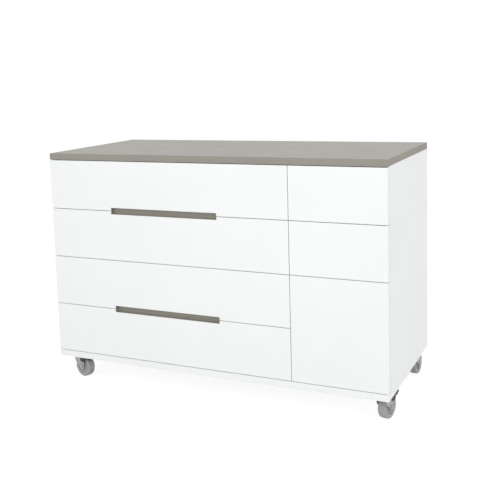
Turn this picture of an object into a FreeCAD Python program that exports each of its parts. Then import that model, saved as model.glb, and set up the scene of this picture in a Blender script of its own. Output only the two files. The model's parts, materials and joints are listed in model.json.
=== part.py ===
import FreeCAD, Part
import os
import re

import Sketcher

# A wide dresser on four swivel casters: six drawers and a door behind flush fronts.
#
# The frame stands on the floor: the origin is on the floor under the middle of the body,
# X runs to the right as one faces the fronts, Y runs from the fronts to the back, Z is up.
# Millimetres throughout.

SIZES = {
    # Body
    "width": 1200.0,
    "depth": 547.0,
    "height": 820.0,
    "caster_height": 89.0,
    "top_board": 22.0,
    "base_board": 22.0,
    "side_board": 22.0,
    "divider_board": 22.0,
    "shelf_board": 22.0,
    "front_board": 22.0,
    "back_board": 8.0,
    "back_inset": 4.0,
    "back_groove": 7.0,
    "divider_place": 289.5,
    "seam": 2.0,
    "front_gap": 3.0,
    # Drawer boxes and their ball-bearing runners
    "runner_space": 13.0,
    "box_board": 12.0,
    "box_lift": 22.0,
    "box_headroom": 28.0,
    "box_rear_space": 63.0,
    "floor_board": 6.0,
    "floor_lift": 10.0,
    "runner_setback": 2.0,
    "runner_end_gap": 1.0,
    "runner_sheet": 1.2,
    "runner_height": 45.0,
    "runner_fit": 0.3,
    "outer_runner_reach": 9.5,
    "inner_runner_reach": 9.0,
    # Shared recessed grips between two drawers
    "grip_length": 398.0,
    "grip_notch": 10.0,
    "grip_undercut": 7.0,
    "grip_lip": 4.0,
    "grip_depth": 16.0,
    "grip_liner": 1.5,
    "grip_clearance": 1.0,
    # Soft bumpers behind the fronts of the wide drawers
    "bumper_radius": 5.0,
    "bumper_relief": 0.3,
    "bumper_end": 30.0,
    # Push-to-open latches
    "latch_side": 14.0,
    "latch_length": 57.0,
    "latch_flange_side": 34.0,
    "latch_flange": 3.0,
    "plunger_radius": 4.0,
    "plunger_fit": 0.1,
    "plunger_stem": 50.0,
    "plunger_bore": 52.0,
    "plunger_head_radius": 6.0,
    "plunger_head": 3.5,
    "plunger_relief": 0.3,
    "latch_head_gap": 0.8,
    # Pivots of the door
    "pivot_edge": 7.0,
    "pivot_radius": 3.0,
    "pivot_fit": 0.05,
    "pivot_sunk": 12.0,
    "pivot_rise": 10.0,
    "bushing_radius": 5.0,
    "bushing_length": 12.0,
    "washer_radius": 6.5,
    "washer_relief": 0.4,
    "bracket_sheet": 1.2,
    "bracket_length": 40.0,
    "bracket_leg": 9.0,
    "bracket_end": 1.0,
    "bracket_front": 6.0,
    # Screws and dowels
    "carcass_screw_radius": 2.5,
    "carcass_screw_length": 50.0,
    "carcass_screw_head_radius": 5.0,
    "carcass_screw_head": 3.5,
    "carcass_screw_spread": 140.0,
    "dowel_radius": 4.0,
    "dowel_length": 32.0,
    "dowel_shallow": 12.0,
    "dowel_spread": 175.0,
    "fitting_screw_radius": 1.5,
    "fitting_screw_length": 6.0,
    "fitting_head_radius": 3.0,
    "fitting_head": 1.2,
    "plate_screw_radius": 2.0,
    "plate_screw_length": 16.0,
    "plate_screw_head_radius": 4.2,
    # Casters
    "caster_side_inset": 37.0,
    "caster_end_inset": 69.0,
    "plate_side": 60.0,
    "plate_sheet": 2.5,
    "plate_screw_spread": 22.0,
    "race_radius": 19.0,
    "race_height": 3.2,
    "king_radius": 4.0,
    "king_head_radius": 8.0,
    "king_head": 2.2,
    "swivel_fit": 0.1,
    "swivel_relief": 0.4,
    "crown_radius": 23.0,
    "crown_sheet": 3.6,
    "leg_sheet": 3.0,
    "leg_space": 29.4,
    "trail": 26.0,
    "wheel_radius": 38.0,
    "tread_width": 27.0,
    "tread_shoulder": 4.0,
    "tread_thickness": 9.0,
    "hub_boss_radius": 10.0,
    "hub_web": 20.0,
    "hub_rim": 3.5,
    "hub_thrust_relief": 0.4,
    "axle_radius": 4.0,
    "axle_fit": 0.1,
    "axle_head_radius": 6.5,
    "axle_head": 3.0,
    "leg_boss_radius": 11.0,
    "lever_pivot_out": 34.0,
    "lever_pivot_up": 66.0,
    "lever_pin_radius": 2.5,
    "lever_pin_fit": 0.1,
    "lever_cheek": 3.0,
    "lever_cheek_relief": 0.4,
    "lever_top": 81.5,
    "lever_sheet": 3.5,
    "lever_start": 25.0,
    "lever_end": 76.0,
    "lever_tail_drop": 3.0,
    "lever_skirt": 8.5,
    "cheek_length": 26.0,
    "cheek_drop": 10.0,
    "shoe_start": 47.0,
    "shoe_end": 59.0,
    "shoe_width": 18.0,
    "shoe_gap": 3.65,
    "heading_front_left": -16.0,
    "heading_front_right": 78.0,
    "heading_rear_left": 100.0,
    "heading_rear_right": 85.0,
    # One overrun for every cut that leaves the material
    "overrun": 2.0,
}

# Sizes that follow from the ones above.
DERIVED = {
    "base_top": "caster_height + base_board",
    "case_top": "height - top_board",
    "row_height": "(case_top - base_top - 5 * seam) / 4",
    "row_pitch": "row_height + seam",
    "front_face": "-depth / 2",
    "front_rear": "front_face + front_board",
    "case_front": "front_rear + front_gap",
    "back_rear": "depth / 2 - back_inset",
    "back_face": "back_rear - back_board",
    "case_left": "-width / 2 + side_board",
    "case_right": "width / 2 - side_board",
    "divider_left": "divider_place - divider_board / 2",
    "divider_right": "divider_place + divider_board / 2",
    "left_front_width": "width / 2 + divider_place - seam / 2",
    "right_front_width": "width / 2 - divider_place - seam / 2",
    "shelf_middle": "base_top + seam + 2 * row_pitch - seam / 2",
    "shelf_low": "shelf_middle - shelf_board / 2",
    "door_height": "2 * row_height + seam",
    "door_low": "base_top + seam",
    "door_top": "door_low + door_height",
    "grip_middle": "-width / 2 + left_front_width / 2",
    "box_height": "row_height - box_lift - box_headroom",
    "box_end": "back_face - box_rear_space",
    "runner_length": "box_end - runner_end_gap - case_front - runner_setback",
    "inner_runner_height": "runner_height - 2 * (runner_sheet + runner_fit)",
    "pivot_x": "width / 2 - pivot_edge",
    "pivot_y": "front_face + front_board / 2",
    "plate_low": "caster_height - plate_sheet",
    "race_low": "plate_low - race_height",
    "crown_top": "race_low - swivel_relief",
    "crown_low": "crown_top - crown_sheet",
    "fork_outside": "leg_space + 2 * leg_sheet",
    "lever_inside": "fork_outside + 2 * lever_cheek_relief",
    "lever_outside": "lever_inside + 2 * lever_cheek",
    "hub_radius": "wheel_radius - tread_thickness",
    "boss_width": "leg_space - 2 * hub_thrust_relief",
}

NAMES = {**SIZES, **DERIVED}
SHEET = "Sizes"
WORD = re.compile(r"[a-z][a-z_]*")


def with_sheet(text):
    """Put the sheet's name before every size named in an expression."""
    return WORD.sub(lambda hit: (SHEET + "." if hit.group(0) in NAMES else "") + hit.group(0), str(text))


class Dresser:
    """The document, its sheet of sizes and the finished pieces in the order they were made."""

    def __init__(self):
        self.doc = FreeCAD.newDocument("dresser")
        self.sheet = self.doc.addObject("Spreadsheet::Sheet", SHEET)
        self.pieces = []
        self.count = 0
        for row, (name, size) in enumerate(SIZES.items(), 1):
            self.sheet.set("A%d" % row, name)
            self.sheet.set("B%d" % row, str(size))
            self.sheet.setAlias("B%d" % row, name)
        for row, (name, formula) in enumerate(DERIVED.items(), len(SIZES) + 1):
            self.sheet.set("A%d" % row, name)
            self.sheet.set("B%d" % row, "=" + formula)
            self.sheet.setAlias("B%d" % row, name)
        self.doc.recompute()

    def value(self, text):
        """The number that an expression gives now."""
        found = self.sheet.evalExpression(with_sheet(text))
        return float(getattr(found, "Value", found))

    def name(self, stem):
        """A name for an inner object that no other object has."""
        self.count += 1
        return "%s_%d" % (stem, self.count)

    def keep(self, piece, label):
        """Label a finished piece and put it on the list of nodes."""
        piece.Label = label
        self.pieces.append(piece)
        return piece

    # Plain solids

    def at(self, solid, low):
        """Bind the place of a solid to three expressions."""
        for axis, text in zip("xyz", low):
            solid.setExpression("Placement.Base." + axis, with_sheet(text))
        return solid

    def box(self, low, size):
        """A block from its low corner and its three sizes."""
        solid = self.doc.addObject("Part::Box", self.name("block"))
        for edge, text in zip(("Length", "Width", "Height"), size):
            solid.setExpression(edge, with_sheet(text))
        return self.at(solid, low)

    def span(self, low, high):
        """A block between two corners."""
        return self.box(low, ["(%s) - (%s)" % (b, a) for a, b in zip(low, high)])

    def rod(self, foot, axis, radius, length):
        """A cylinder from its foot along X, Y or Z."""
        solid = self.doc.addObject("Part::Cylinder", self.name("rod"))
        solid.setExpression("Radius", with_sheet(radius))
        solid.setExpression("Height", with_sheet(length))
        return self.at(self.turned(solid, axis), foot)

    def cone(self, foot, axis, foot_radius, head_radius, length):
        """A cone from its foot along X, Y or Z."""
        solid = self.doc.addObject("Part::Cone", self.name("cone"))
        solid.setExpression("Radius1", with_sheet(foot_radius))
        solid.setExpression("Radius2", with_sheet(head_radius))
        solid.setExpression("Height", with_sheet(length))
        return self.at(self.turned(solid, axis), foot)

    def turned(self, solid, axis):
        """Turn a solid that stands along Z so that it lies along the named axis."""
        ways = {"x": (1, 0, 0), "y": (0, 1, 0), "z": (0, 0, 1),
                "-x": (-1, 0, 0), "-y": (0, -1, 0), "-z": (0, 0, -1)}
        turn = FreeCAD.Rotation(FreeCAD.Vector(0, 0, 1), FreeCAD.Vector(*ways[axis]))
        solid.Placement = FreeCAD.Placement(FreeCAD.Vector(0, 0, 0), turn)
        return solid

    def fuse(self, solids):
        """One solid from several."""
        if len(solids) == 1:
            return solids[0]
        whole = self.doc.addObject("Part::MultiFuse", self.name("joined"))
        whole.Shapes = solids
        whole.Refine = True
        return whole

    def cut(self, base, tools):
        """A solid less every tool."""
        left = self.doc.addObject("Part::Cut", self.name("cut"))
        left.Base = base
        left.Tool = self.fuse(tools)
        return left

    def group(self, solids, label):
        """Several separate solids in one node."""
        whole = self.doc.addObject("Part::Compound", self.name("group"))
        whole.Links = solids
        return self.keep(whole, label)

    # Sketched solids

    def body(self, place=("0", "0", "0"), heading=None):
        """A sketched solid's body, placed by expressions and turned about Z."""
        body = self.doc.addObject("PartDesign::Body", self.name("body"))
        self.at(body, place)
        if heading:
            body.setExpression("Placement.Rotation.Angle", with_sheet(heading) + " * 1deg")
        return body

    def sketch(self, body, role, offset="0"):
        """A sketch on one of the body's own planes, moved along its normal."""
        made = body.newObject("Sketcher::SketchObject", self.name("sketch"))
        plane = [item for item in body.Origin.OriginFeatures if item.Role == role][0]
        made.AttachmentSupport = [(plane, "")]
        made.MapMode = "FlatFace"
        made.setExpression("AttachmentOffset.Base.z", with_sheet(offset))
        return made

    def outline(self, sketch, points):
        """A closed outline whose corners are bound to expressions."""
        flat = [FreeCAD.Vector(self.value(u), self.value(v), 0) for u, v in points]
        first = sketch.GeometryCount
        count = len(points)
        for n in range(count):
            sketch.addGeometry(Part.LineSegment(flat[n], flat[(n + 1) % count]), False)
        for n in range(count):
            here, following = first + n, first + (n + 1) % count
            sketch.addConstraint(Sketcher.Constraint("Coincident", here, 2, following, 1))
        for n, (u, v) in enumerate(points):
            for kind, text, number in (("DistanceX", u, flat[n].x), ("DistanceY", v, flat[n].y)):
                made = sketch.addConstraint(Sketcher.Constraint(kind, -1, 1, first + n, 1, number))
                sketch.setExpression("Constraints[%d]" % made, with_sheet(text))

    def circle(self, sketch, u, v, radius):
        """A circle whose centre and radius are bound to expressions."""
        centre = FreeCAD.Vector(self.value(u), self.value(v), 0)
        ring = sketch.addGeometry(Part.Circle(centre, FreeCAD.Vector(0, 0, 1), self.value(radius)), False)
        for kind, text, number in (("DistanceX", u, centre.x), ("DistanceY", v, centre.y)):
            made = sketch.addConstraint(Sketcher.Constraint(kind, -1, 1, ring, 3, number))
            sketch.setExpression("Constraints[%d]" % made, with_sheet(text))
        made = sketch.addConstraint(Sketcher.Constraint("Radius", ring, self.value(radius)))
        sketch.setExpression("Constraints[%d]" % made, with_sheet(radius))

    def pad(self, body, sketch, length, both_ways=False):
        """Raise a sketch into a solid, along its normal or half to each side."""
        made = body.newObject("PartDesign::Pad", self.name("pad"))
        made.Profile = sketch
        made.SideType = "Symmetric" if both_ways else "One side"
        made.setExpression("Length", with_sheet(length))
        self.doc.recompute()
        return made

    def pocket(self, body, sketch, length):
        """Cut a sketch out of the solid, half of the length to each side of it."""
        before = body.Shape.Volume
        made = body.newObject("PartDesign::Pocket", self.name("pocket"))
        made.Profile = sketch
        made.Type = "Length"
        made.SideType = "Symmetric"
        made.setExpression("Length", with_sheet(length))
        self.doc.recompute()
        if not body.Shape.Volume < before:
            raise RuntimeError("a pocket cut nothing in " + body.Name)
        return made

    def revolve(self, body, sketch, axis="H_Axis"):
        """Turn a sketch a whole turn about one of its own axes."""
        made = body.newObject("PartDesign::Revolution", self.name("turn"))
        made.Profile = sketch
        made.ReferenceAxis = (sketch, [axis])
        made.Angle = 360
        self.doc.recompute()
        return made

    def check_and_save(self, folder):
        """Stop on any failed object, then write each piece to a file of its own."""
        self.doc.recompute()
        for item in self.doc.Objects:
            bad = {"Invalid", "Error"} & set(item.State)
            if bad:
                raise RuntimeError("%s is %s" % (item.Label, ", ".join(sorted(bad))))
        for piece in self.pieces:
            if piece.Shape.isNull() or not piece.Shape.isValid():
                raise RuntimeError(piece.Label + " has no valid shape")
        for piece in self.pieces:
            piece.Shape.exportStep(os.path.join(folder, piece.Label + ".step"))
            print("%-34s %3d solids %14.1f mm3" % (piece.Label, len(piece.Shape.Solids), piece.Shape.Volume))


def row_low(row):
    """Lower edge of a front, with the rows counted from the top."""
    return "(base_top + seam + %d * row_pitch)" % (4 - row)


def carcass_screw_places():
    """Centres of the screws that go up through the base into the upright boards."""
    uprights = ("case_left - side_board / 2", "divider_place", "case_right + side_board / 2")
    return [(x, y) for x in uprights for y in ("-carcass_screw_spread", "0", "carcass_screw_spread")]


def dowel_places():
    """Centres of the dowels between the top and the upright boards."""
    uprights = ("case_left - side_board / 2", "divider_place", "case_right + side_board / 2")
    return [(x, y) for x in uprights for y in ("-dowel_spread", "0", "dowel_spread")]


def shelf_dowels(unit, x):
    """Dowels that hold one end of the shelf, seen from the upright that they enter."""
    foot = "divider_right - dowel_shallow" if x == "divider" else "case_right + dowel_shallow"
    way = "x" if x == "divider" else "-x"
    return [unit.rod((foot, y, "shelf_middle"), way, "dowel_radius", "dowel_length")
            for y in ("-dowel_spread", "dowel_spread")]


def caster_corners():
    """Name, place and heading of each caster."""
    corners = []
    for end, y_sign in (("front", -1), ("rear", 1)):
        for side, x_sign in (("left", -1), ("right", 1)):
            x = "%d * (width / 2 - caster_side_inset)" % x_sign
            y = "%d * (depth / 2 - caster_end_inset)" % y_sign
            corners.append((end + "_" + side, x, y, "heading_%s_%s" % (end, side)))
    return corners


def plate_screw_places(x, y):
    """Centres of the four screws of one caster plate."""
    return [("%s + %d * plate_screw_spread" % (x, a), "%s + %d * plate_screw_spread" % (y, b))
            for a in (-1, 1) for b in (-1, 1)]


def carcass_screws(unit):
    """The long screws with sunk heads, as solids."""
    screws = []
    for x, y in carcass_screw_places():
        head = unit.cone((x, y, "caster_height"), "z", "carcass_screw_head_radius",
                         "carcass_screw_radius", "carcass_screw_head")
        shank = unit.rod((x, y, "caster_height"), "z", "carcass_screw_radius", "carcass_screw_length")
        screws.append(unit.fuse([head, shank]))
    return screws


def dowels(unit):
    """Wooden dowels between the top, the uprights and the shelf."""
    pins = [unit.rod((x, y, "case_top + dowel_shallow"), "-z", "dowel_radius", "dowel_length")
            for x, y in dowel_places()]
    return pins + shelf_dowels(unit, "divider") + shelf_dowels(unit, "side")


def plate_screws(unit):
    """Sixteen sunk screws that hold the caster plates."""
    screws = []
    for _, x, y, _ in caster_corners():
        for u, v in plate_screw_places(x, y):
            head = unit.cone((u, v, "plate_low"), "z", "plate_screw_head_radius",
                             "plate_screw_radius", "plate_sheet")
            shank = unit.rod((u, v, "plate_low"), "z", "plate_screw_radius",
                             "plate_sheet + plate_screw_length")
            screws.append(unit.fuse([head, shank]))
    return screws


def door_pin(unit):
    """The lower pivot pin with its washer, standing in the base."""
    pin = unit.rod(("pivot_x", "pivot_y", "base_top - pivot_sunk"), "z", "pivot_radius",
                   "pivot_sunk + seam + pivot_rise")
    washer = unit.rod(("pivot_x", "pivot_y", "base_top"), "z", "washer_radius", "seam - washer_relief")
    return unit.fuse([pin, washer])


def back_board(unit):
    """The back, which enters a groove on all four sides."""
    return unit.span(("case_left - back_groove", "back_face", "base_top - back_groove"),
                     ("case_right + back_groove", "back_rear", "case_top + back_groove"))


def carcass(unit):
    """Top, base, sides, divider, shelf and back, drilled and grooved for what joins them."""
    top = unit.span(("-width / 2", "front_face", "case_top"), ("width / 2", "depth / 2", "height"))
    unit.keep(unit.cut(top, dowels(unit) + [back_board(unit)]), "top_panel")

    base = unit.span(("-width / 2", "front_face", "caster_height"), ("width / 2", "depth / 2", "base_top"))
    holes = carcass_screws(unit) + plate_screws(unit) + [door_pin(unit), back_board(unit)]
    unit.keep(unit.cut(base, holes), "base_panel")

    for label, x in (("left_side_panel", "-width / 2"), ("right_side_panel", "case_right")):
        side = unit.box((x, "case_front", "base_top"),
                        ("side_board", "depth / 2 - case_front", "case_top - base_top"))
        holes = carcass_screws(unit) + dowels(unit) + bracket_screws(unit) + [back_board(unit)]
        unit.keep(unit.cut(side, holes), label)

    divider = unit.box(("divider_left", "case_front", "base_top"),
                       ("divider_board", "back_face - case_front", "case_top - base_top"))
    unit.keep(unit.cut(divider, carcass_screws(unit) + dowels(unit) + latch_screws(unit)), "divider_panel")

    shelf = unit.box(("divider_right", "case_front", "shelf_low"),
                     ("case_right - divider_right", "back_face - case_front", "shelf_board"))
    unit.keep(unit.cut(shelf, dowels(unit) + bracket_screws(unit)), "fixed_shelf")

    unit.keep(unit.cut(back_board(unit), latch_screws(unit)), "back_panel")
    unit.group(carcass_screws(unit), "carcass_screws")
    unit.group(dowels(unit), "carcass_dowels")


def bumpers(unit):
    """Soft round bumpers on the carcass edges that meet the wide drawers' fronts."""
    pads = []
    for row in (1, 2, 3, 4):
        for x in ("case_left - side_board / 2", "divider_place - divider_board / 4"):
            place = (x, "case_front", row_low(row) + " + bumper_end")
            pads.append(unit.rod(place, "-y", "bumper_radius", "front_gap - bumper_relief"))
    unit.group(pads, "front_bumpers")


def columns():
    """For each column: its name, the rows that are drawers, and the inner faces of its walls."""
    return (("left", (1, 2, 3, 4), "case_left", "divider_left"),
            ("right", (1, 2), "divider_right", "case_right"))


def runner_middle(row):
    """Height of the runners' centre line."""
    return "(%s + box_lift + box_height / 2)" % row_low(row)


def channel(unit, wall, way, row, height, reach):
    """A steel channel along Y: its web on a wall, its flanges reaching along +X or -X."""
    base = unit.body((wall, "case_front + runner_setback", runner_middle(row)))
    profile = unit.sketch(base, "XZ_Plane")
    out = way + "1 * " + reach
    web = way + "1 * runner_sheet"
    edge = height + " / 2"
    inner = "(%s / 2 - runner_sheet)" % height
    unit.outline(profile, [("0", "-" + edge), (out, "-" + edge), (out, "-" + inner), (web, "-" + inner),
                           (web, inner), (out, inner), (out, edge), ("0", edge)])
    raised = unit.pad(base, profile, "runner_length")
    raised.Reversed = True
    return base


def cabinet_runners(unit):
    """The outer runner members, screwed to the uprights."""
    rails = []
    for _, rows, low_wall, high_wall in columns():
        for row in rows:
            rails.append(channel(unit, low_wall, "", row, "runner_height", "outer_runner_reach"))
            rails.append(channel(unit, high_wall, "-", row, "runner_height", "outer_runner_reach"))
    unit.group(rails, "cabinet_runners")


def grip_ends(cut_length="grip_length"):
    """Left and right ends of the recess."""
    return "grip_middle - %s / 2" % cut_length, "grip_middle + %s / 2" % cut_length


def upper_front(unit, row, low):
    """A wide front whose lower edge is notched for the shared grip, with an undercut behind a lip."""
    board = unit.box(("-width / 2", "front_face", low), ("left_front_width", "front_board", "row_height"))
    x_low, x_high = grip_ends()
    notch = unit.span((x_low, "front_face - overrun", low + " - overrun"),
                      (x_high, "front_rear + overrun", low + " + grip_notch"))
    undercut = unit.span((x_low, "front_face + grip_lip", low + " - overrun"),
                         (x_high, "front_rear + overrun", low + " + grip_notch + grip_undercut"))
    unit.keep(unit.cut(board, [notch, undercut]), "drawer_left_%d_front" % row)


def upper_liner(unit, row, low):
    """The lining of the upper half of a grip: lip, ceiling, rear wall and two ends."""
    x_low, x_high = grip_ends()
    ceiling = low + " + grip_notch + grip_undercut"
    lip = "front_face + grip_lip"
    walls = [
        unit.span((x_low, lip, ceiling + " - grip_liner"), (x_high, "front_rear", ceiling)),
        unit.span((x_low, lip, low + " + grip_notch"), (x_high, lip + " + grip_liner", ceiling)),
        unit.span((x_low, "front_rear - grip_liner", low + " + grip_notch"), (x_high, "front_rear", ceiling)),
    ]
    for x in (x_low, x_high + " - grip_liner"):
        walls.append(unit.span((x, "front_face", low),
                               (x + " + grip_liner", "front_rear", low + " + grip_notch")))
        walls.append(unit.span((x, lip, low), (x + " + grip_liner", "front_rear", ceiling)))
    unit.keep(unit.fuse(walls), "drawer_left_%d_grip" % row)


def lower_front(unit, row, low):
    """A wide front whose upper edge is notched for the shared grip, with a blind pocket behind a lip."""
    board = unit.box(("-width / 2", "front_face", low), ("left_front_width", "front_board", "row_height"))
    x_low, x_high = grip_ends()
    high = low + " + row_height"
    notch = unit.span((x_low, "front_face - overrun", high + " - grip_notch"),
                      (x_high, "front_face + grip_depth", high + " + overrun"))
    undercut = unit.span((x_low, "front_face + grip_lip", high + " - grip_notch - grip_undercut"),
                         (x_high, "front_face + grip_depth", high + " + overrun"))
    unit.keep(unit.cut(board, [notch, undercut]), "drawer_left_%d_front" % row)


def lower_liner(unit, row, low):
    """The lining of the lower half of a grip: its back wall rises behind the notch of the drawer above."""
    x_low, x_high = grip_ends()
    high = low + " + row_height"
    floor = high + " - grip_notch - grip_undercut"
    lip = "front_face + grip_lip"
    rear = "front_face + grip_depth"
    narrow_low = x_low + " + grip_liner + grip_clearance"
    narrow_high = x_high + " - grip_liner - grip_clearance"
    walls = [
        unit.span((x_low, lip, floor), (x_high, rear, floor + " + grip_liner")),
        unit.span((x_low, lip, floor), (x_high, lip + " + grip_liner", high + " - grip_notch")),
        unit.span((x_low, rear + " - grip_liner", floor), (x_high, rear, high)),
        unit.span((narrow_low, rear + " - grip_liner", floor),
                  (narrow_high, rear, high + " + seam + grip_notch - grip_clearance")),
    ]
    for x in (x_low, x_high + " - grip_liner"):
        walls.append(unit.span((x, "front_face", high + " - grip_notch"), (x + " + grip_liner", rear, high)))
        walls.append(unit.span((x, lip, floor), (x + " + grip_liner", rear, high)))
    unit.keep(unit.fuse(walls), "drawer_left_%d_grip" % row)


def drawer_box(unit, label, x_low, x_high, low):
    """Two sides, an inner front, a back and a floor, as separate boards."""
    bottom = low + " + box_lift"
    top = bottom + " + box_height"
    inner_low = x_low + " + box_board"
    inner_high = x_high + " - box_board"
    boards = [
        unit.span((x_low, "front_rear", bottom), (inner_low, "box_end", top)),
        unit.span((inner_high, "front_rear", bottom), (x_high, "box_end", top)),
        unit.span((inner_low, "front_rear", bottom), (inner_high, "front_rear + box_board", top)),
        unit.span((inner_low, "box_end - box_board", bottom), (inner_high, "box_end", top)),
        unit.span((inner_low, "front_rear + box_board", bottom + " + floor_lift"),
                  (inner_high, "box_end - box_board", bottom + " + floor_lift + floor_board")),
    ]
    unit.group(boards, label + "_box")


def drawers(unit):
    """Every drawer: front, box, runner members and, on the wide ones, half of a grip."""
    for side, rows, low_wall, high_wall in columns():
        for row in rows:
            label = "drawer_%s_%d" % (side, row)
            low = row_low(row)
            if side == "right":
                unit.keep(unit.box(("divider_place + seam / 2", "front_face", low),
                                   ("right_front_width", "front_board", "row_height")), label + "_front")
            elif row in (1, 3):
                upper_front(unit, row, low)
                upper_liner(unit, row, low)
            else:
                lower_front(unit, row, low)
                lower_liner(unit, row, low)
            x_low, x_high = low_wall + " + runner_space", high_wall + " - runner_space"
            drawer_box(unit, label, x_low, x_high, low)
            members = [channel(unit, x_low, "-", row, "inner_runner_height", "inner_runner_reach"),
                       channel(unit, x_high, "", row, "inner_runner_height", "inner_runner_reach")]
            unit.group(members, label + "_runners")


def latch_frames():
    """For each push latch: its name, its axis, the face that it pushes and the board that carries it."""
    column = "((divider_right + case_right) / 2)"
    frames = [("drawer_right_%d" % row, column, runner_middle(row), "box_end", "back") for row in (1, 2)]
    door_x = "(divider_right + latch_side / 2)"
    return frames + [("door", door_x, "((door_low + door_top) / 2)", "front_rear", "divider")]


def latch_housing(unit, x, z, pushed, board):
    """A square housing with a flange on its board and a blind bore that guides the plunger."""
    front = pushed + " + plunger_relief + plunger_head + latch_head_gap"
    rear = "back_face" if board == "back" else front + " + latch_length"
    block = unit.span((x + " - latch_side / 2", front, z + " - latch_side / 2"),
                      (x + " + latch_side / 2", rear, z + " + latch_side / 2"))
    z_low, z_high = z + " - latch_flange_side / 2", z + " + latch_flange_side / 2"
    if board == "back":
        flange = unit.span((x + " - latch_side / 2", "back_face - latch_flange", z_low),
                           (x + " + latch_side / 2", "back_face", z_high))
    else:
        flange = unit.span(("divider_right", front, z_low), ("divider_right + latch_flange", rear, z_high))
    bore = unit.rod((x, front + " - overrun", z), "y", "plunger_radius + plunger_fit",
                    "plunger_bore + overrun")
    return unit.cut(unit.fuse([block, flange]), [bore] + latch_screws(unit))


def small_screw(unit, foot, way, sheet):
    """A small screw with a sunk head, through a sheet and on into a board."""
    head = unit.cone(foot, way, "fitting_head_radius", "fitting_screw_radius", "fitting_head")
    shank = unit.rod(foot, way, "fitting_screw_radius", "fitting_screw_length + " + sheet)
    return unit.fuse([head, shank])


def latch_screws(unit):
    """Two small screws through the flange of each latch, above and below its housing."""
    screws = []
    for _, x, z, pushed, board in latch_frames():
        for sign in (-1, 1):
            height = "%s + %d * (latch_flange_side + latch_side) / 4" % (z, sign)
            if board == "back":
                foot, way = (x, "back_face - latch_flange", height), "y"
            else:
                middle = pushed + " + plunger_relief + plunger_head + latch_head_gap + latch_length / 2"
                foot, way = ("divider_right + latch_flange", middle, height), "-x"
            screws.append(small_screw(unit, foot, way, "latch_flange"))
    return screws


def plunger(unit, name, x, z, pushed):
    """A round stem in the housing's bore with a wider head just clear of what it pushes."""
    tip = pushed + " + plunger_relief"
    head = unit.rod((x, tip, z), "y", "plunger_head_radius", "plunger_head")
    stem = unit.rod((x, tip, z), "y", "plunger_radius", "plunger_head + plunger_stem")
    unit.keep(unit.fuse([head, stem]), "push_latch_plunger_" + name)


def bracket_screws(unit):
    """Two small screws that hold the door's upper bracket to the shelf's front edge."""
    screws = []
    for sign in (-1, 1):
        x = "width / 2 - bracket_end - bracket_length / 2 + %d * bracket_length / 4 - side_board / 4" % sign
        foot = (x, "case_front - bracket_sheet", "shelf_middle + bracket_sheet / 2 + bracket_leg / 2")
        screws.append(small_screw(unit, foot, "y", "bracket_sheet"))
    return screws


def door_bracket(unit):
    """An angle bracket in the seam above the door, with the upper pivot pin riveted in it."""
    x_high = "width / 2 - bracket_end"
    x_low = x_high + " - bracket_length"
    tongue_low = "shelf_middle - bracket_sheet / 2"
    tongue = unit.span((x_low, "front_face + bracket_front", tongue_low),
                       (x_high, "case_front", tongue_low + " + bracket_sheet"))
    leg = unit.span((x_low, "case_front - bracket_sheet", tongue_low),
                    (x_high, "case_front", tongue_low + " + bracket_sheet + bracket_leg"))
    pin = unit.rod(("pivot_x", "pivot_y", tongue_low + " + bracket_sheet"), "-z", "pivot_radius",
                   "bracket_sheet + pivot_rise")
    unit.keep(unit.cut(unit.fuse([tongue, leg, pin]), bracket_screws(unit)), "door_upper_bracket")


def fittings(unit):
    """Latch housings, plungers, door pivots and their screws."""
    housings = [latch_housing(unit, x, z, pushed, board) for _, x, z, pushed, board in latch_frames()]
    unit.group(housings, "push_latch_housings")
    for name, x, z, pushed, _ in latch_frames():
        plunger(unit, name, x, z, pushed)
    door_bracket(unit)
    unit.keep(door_pin(unit), "door_lower_pivot_pin")
    unit.group(bracket_screws(unit) + latch_screws(unit), "fitting_screws")


def bushing(unit, foot, way):
    """A sleeve in the door's edge round a pivot pin."""
    sleeve = unit.rod(foot, way, "bushing_radius", "bushing_length")
    bore = unit.rod(foot, way, "pivot_radius + pivot_fit", "bushing_length")
    return unit.cut(sleeve, [bore])


def door(unit):
    """The door and the two bushings that turn on the pivot pins."""
    board = unit.box(("divider_place + seam / 2", "front_face", "door_low"),
                     ("right_front_width", "front_board", "door_height"))
    ends = ((("pivot_x", "pivot_y", "door_low"), "z"), (("pivot_x", "pivot_y", "door_top"), "-z"))
    holes = [unit.rod(foot, way, "bushing_radius", "bushing_length") for foot, way in ends]
    unit.keep(unit.cut(board, holes), "door_panel")
    unit.group([bushing(unit, foot, way) for foot, way in ends], "door_bushings")


def caster_plates(unit):
    """Mounting plates with a raised race, their screws and the king pins."""
    plates, pins = [], []
    for _, x, y, _ in caster_corners():
        sheet = unit.box((x + " - plate_side / 2", y + " - plate_side / 2", "plate_low"),
                         ("plate_side", "plate_side", "plate_sheet"))
        race = unit.rod((x, y, "race_low"), "z", "race_radius", "race_height")
        tools = [unit.rod((x, y, "race_low - overrun"), "z", "king_radius",
                          "race_height + plate_sheet + 2 * overrun")]
        for u, v in plate_screw_places(x, y):
            tools.append(unit.cone((u, v, "plate_low"), "z", "plate_screw_head_radius",
                                   "plate_screw_radius", "plate_sheet"))
            tools.append(unit.rod((u, v, "plate_low"), "z", "plate_screw_radius", "plate_sheet + overrun"))
        plates.append(unit.cut(unit.fuse([sheet, race]), tools))
        rivet = (x, y, "crown_low - swivel_relief")
        shank = unit.rod(rivet, "z", "king_radius", "caster_height - crown_low + swivel_relief")
        head = unit.rod(rivet, "-z", "king_head_radius", "king_head")
        pins.append(unit.fuse([shank, head]))
    unit.group(plates, "caster_plates")
    unit.group(pins, "caster_king_pins")
    unit.group(plate_screws(unit), "caster_plate_screws")


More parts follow.
